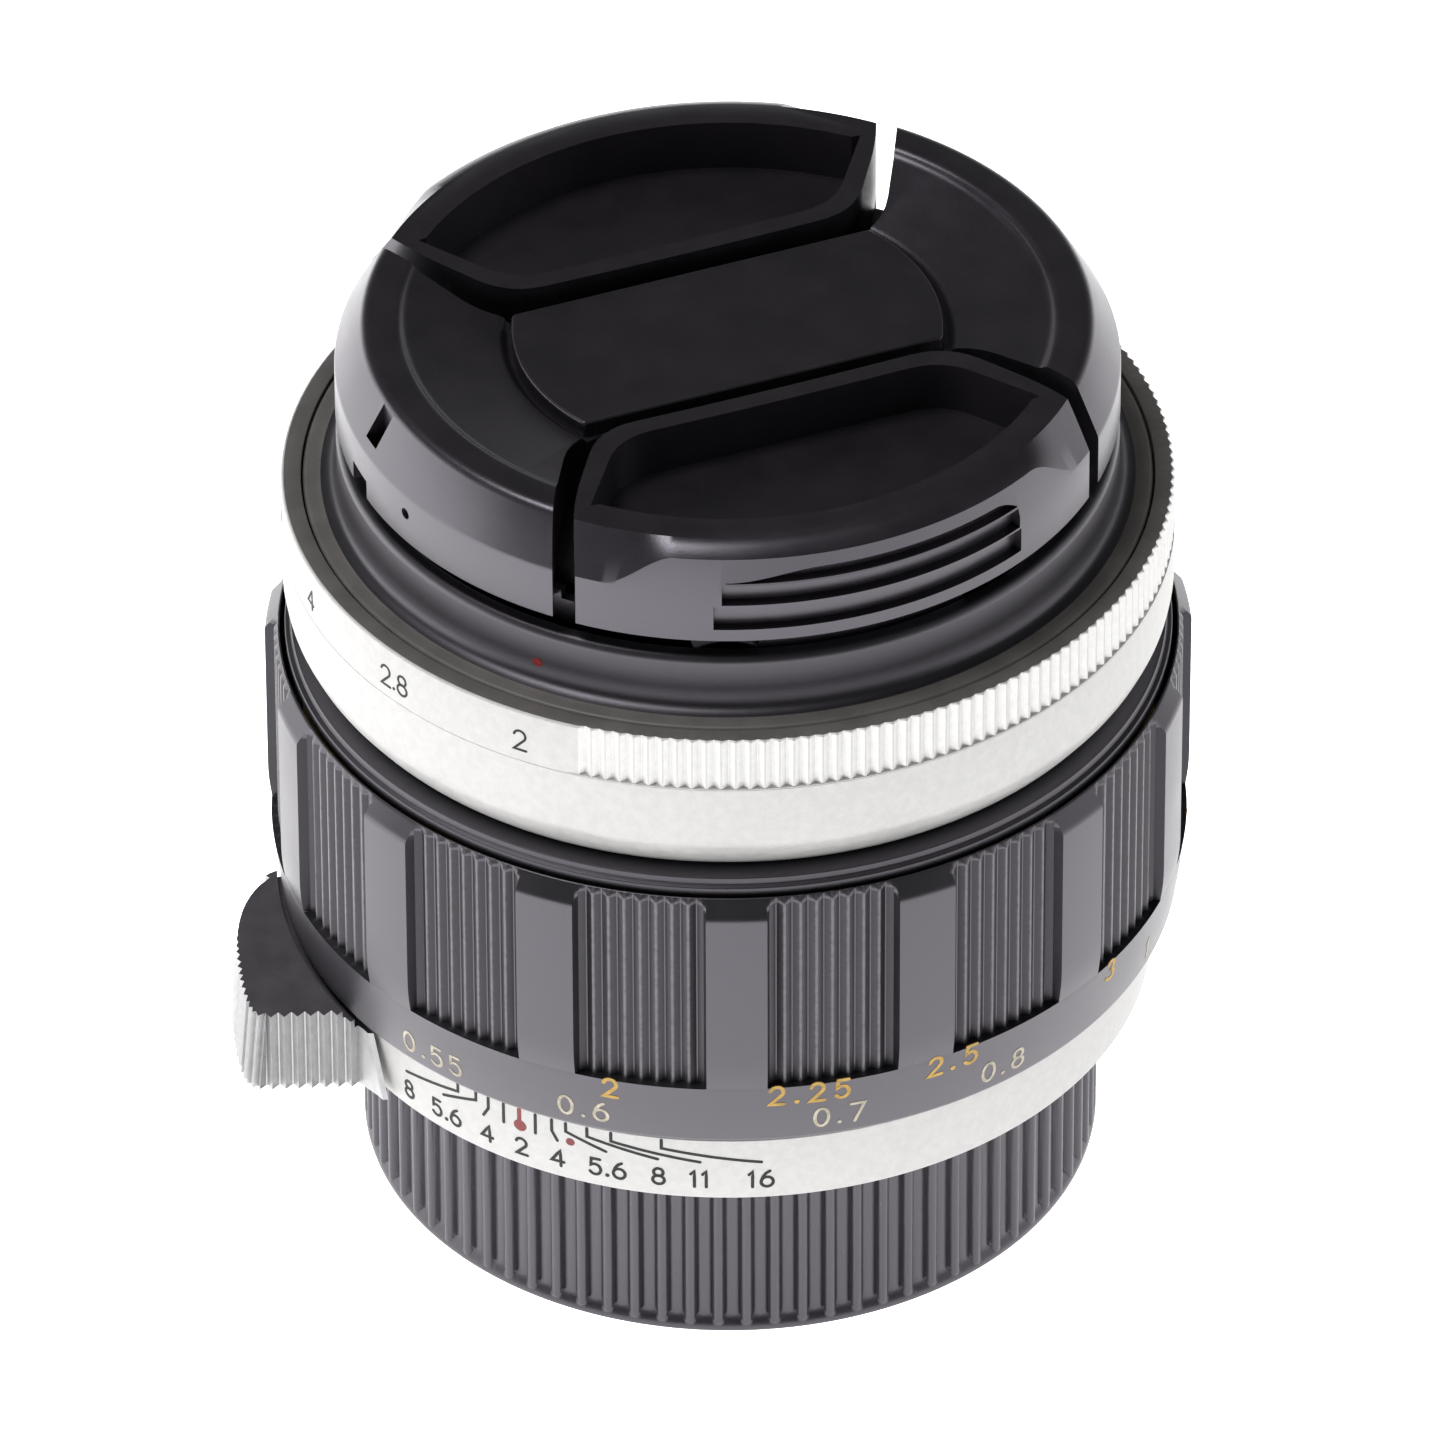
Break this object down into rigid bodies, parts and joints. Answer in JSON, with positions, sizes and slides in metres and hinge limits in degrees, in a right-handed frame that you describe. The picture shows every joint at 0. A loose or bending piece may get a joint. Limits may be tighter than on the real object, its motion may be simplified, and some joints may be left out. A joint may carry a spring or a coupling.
{
  "type": "prime camera lens",
  "caption": "Manual-focus prime camera lens with a screw mount, scalloped focus ring, click-stop aperture ring, iris, stop-down lever and push-on front and rear caps.",
  "frame": {"origin": "centre of the rear cap's flat base, on the optical axis", "axes": "+Z along the optical axis from the rear cap to the front of the lens; -Y faces the viewer of the distance scale; the stop-down lever is on the -X side"},
  "size_m": [0.0644, 0.0616, 0.0662],
  "materials": {
    "rear_cap_plastic": "moulded black plastic, satin",
    "cap_plastic": "fine-textured black plastic",
    "satin_aluminium": "satin chrome plated",
    "black_anodised": "black anodised, semi-matt",
    "gloss_black_metal": "black enamel, semi-gloss",
    "grey_alloy": "grey turned alloy",
    "brass": "turned brass",
    "steel": "bright steel",
    "screw_steel": "plated steel",
    "blade_steel": "blued spring steel",
    "coated_glass": "coated optical glass"
  },
  "bodies": {
    "mount_body": {"screw_mount": "satin_aluminium", "mount_screws": "screw_steel", "depth_scale_ring": "satin_aluminium", "scale_ring_screws": "screw_steel", "fixed_barrel": "grey_alloy", "guide_key": "brass", "pin_bridge": "steel"},
    "rear_cap": {"rear_cap": "rear_cap_plastic"},
    "stop_down_lever": {"stop_down_lever": "satin_aluminium"},
    "stop_down_pin": {"stop_down_pin": "brass", "pin_spring": "steel"},
    "focus_ring": {"focus_ring": "black_anodised", "focus_helicoid": "brass", "helicoid_screws": "screw_steel"},
    "focus_barrel": {"focus_sleeve": "brass", "front_collar": "black_anodised", "aperture_seat": "grey_alloy", "click_ball": "steel", "click_spring": "steel", "front_barrel": "gloss_black_metal", "inner_ring": "black_anodised", "front_cell": "black_anodised", "rear_cell": "black_anodised", "rear_retainer": "black_anodised", "front_element": "coated_glass", "second_element": "coated_glass", "third_element": "coated_glass", "fourth_element": "coated_glass", "fifth_element": "coated_glass", "rear_element": "coated_glass", "iris_housing": "grey_alloy"},
    "aperture_ring": {"aperture_ring": "satin_aluminium", "iris_cam_ring": "grey_alloy"},
    "front_cap": {"cap_body": "cap_plastic", "cap_back_plate": "cap_plastic", "cap_springs": "steel"},
    "cap_grip_front": {"cap_grip_front": "cap_plastic"},
    "cap_grip_rear": {"cap_grip_rear": "cap_plastic"},
    "iris_blade_1": {"iris_blade_1": "blade_steel"},
    "iris_blade_2": {"iris_blade_2": "blade_steel"},
    "iris_blade_3": {"iris_blade_3": "blade_steel"},
    "iris_blade_4": {"iris_blade_4": "blade_steel"},
    "iris_blade_5": {"iris_blade_5": "blade_steel"},
    "iris_blade_6": {"iris_blade_6": "blade_steel"}
  },
  "joints": [
    {"name": "focus_turn", "type": "hinge", "parent": "mount_body", "child": "focus_ring", "pos_m": [0, 0, 0.03], "axis": [0, 0, 1], "range_deg": [-199, 11.5]},
    {"name": "focus_travel", "type": "slide", "parent": "mount_body", "child": "focus_barrel", "axis": [0, 0, 1], "range_m": [-0.00665, 0.0005]},
    {"name": "aperture_turn", "type": "hinge", "parent": "focus_barrel", "child": "aperture_ring", "pos_m": [0, 0, 0.048], "axis": [0, 0, 1], "range_deg": [0, 121]},
    {"name": "stop_down_turn", "type": "hinge", "parent": "mount_body", "child": "stop_down_lever", "pos_m": [0, 0, 0.0174], "axis": [0, 0, 1], "range_deg": [-22, 0]},
    {"name": "pin_press", "type": "slide", "parent": "mount_body", "child": "stop_down_pin", "axis": [0, 0, 1], "range_m": [0, 0.0024], "stiffness_N_per_m": 120, "springref_m": -0.002, "deforming": ["pin_spring"]},
    {"name": "rear_cap_off", "type": "slide", "parent": "mount_body", "child": "rear_cap", "axis": [0, 0, -1], "range_m": [0, 0.03]},
    {"name": "front_cap_off", "type": "slide", "parent": "focus_barrel", "child": "front_cap", "axis": [0, 0, 1], "range_m": [0, 0.03]},
    {"name": "grip_front_press", "type": "slide", "parent": "front_cap", "child": "cap_grip_front", "axis": [-0.3584, 0.9336, 0], "range_m": [0, 0.0011], "stiffness_N_per_m": 400, "springref_m": -0.002},
    {"name": "grip_rear_press", "type": "slide", "parent": "front_cap", "child": "cap_grip_rear", "axis": [0.3584, -0.9336, 0], "range_m": [0, 0.0011], "stiffness_N_per_m": 400, "springref_m": -0.002},
    {"name": "blade_1_turn", "type": "hinge", "parent": "focus_barrel", "child": "iris_blade_1", "pos_m": [0.0212, 0, 0.0355], "axis": [0, 0, 1], "range_deg": [-34.2, 0.2]},
    {"name": "blade_2_turn", "type": "hinge", "parent": "focus_barrel", "child": "iris_blade_2", "pos_m": [0.0106, 0.01836, 0.0355], "axis": [0, 0, 1], "range_deg": [-34.2, 0.2]},
    {"name": "blade_3_turn", "type": "hinge", "parent": "focus_barrel", "child": "iris_blade_3", "pos_m": [-0.0106, 0.01836, 0.0355], "axis": [0, 0, 1], "range_deg": [-34.2, 0.2]},
    {"name": "blade_4_turn", "type": "hinge", "parent": "focus_barrel", "child": "iris_blade_4", "pos_m": [-0.0212, 0, 0.0355], "axis": [0, 0, 1], "range_deg": [-34.2, 0.2]},
    {"name": "blade_5_turn", "type": "hinge", "parent": "focus_barrel", "child": "iris_blade_5", "pos_m": [-0.0106, -0.01836, 0.0355], "axis": [0, 0, 1], "range_deg": [-34.2, 0.2]},
    {"name": "blade_6_turn", "type": "hinge", "parent": "focus_barrel", "child": "iris_blade_6", "pos_m": [0.0106, -0.01836, 0.0355], "axis": [0, 0, 1], "range_deg": [-34.2, 0.2]}
  ],
  "couplings": [
    {"joint": "focus_travel", "follows": "focus_turn", "m_per_rad": 0.0019035},
    {"joint": "blade_1_turn", "follows": "aperture_turn", "ratio": -0.281},
    {"joint": "blade_2_turn", "follows": "aperture_turn", "ratio": -0.281},
    {"joint": "blade_3_turn", "follows": "aperture_turn", "ratio": -0.281},
    {"joint": "blade_4_turn", "follows": "aperture_turn", "ratio": -0.281},
    {"joint": "blade_5_turn", "follows": "aperture_turn", "ratio": -0.281},
    {"joint": "blade_6_turn", "follows": "aperture_turn", "ratio": -0.281}
  ]
}
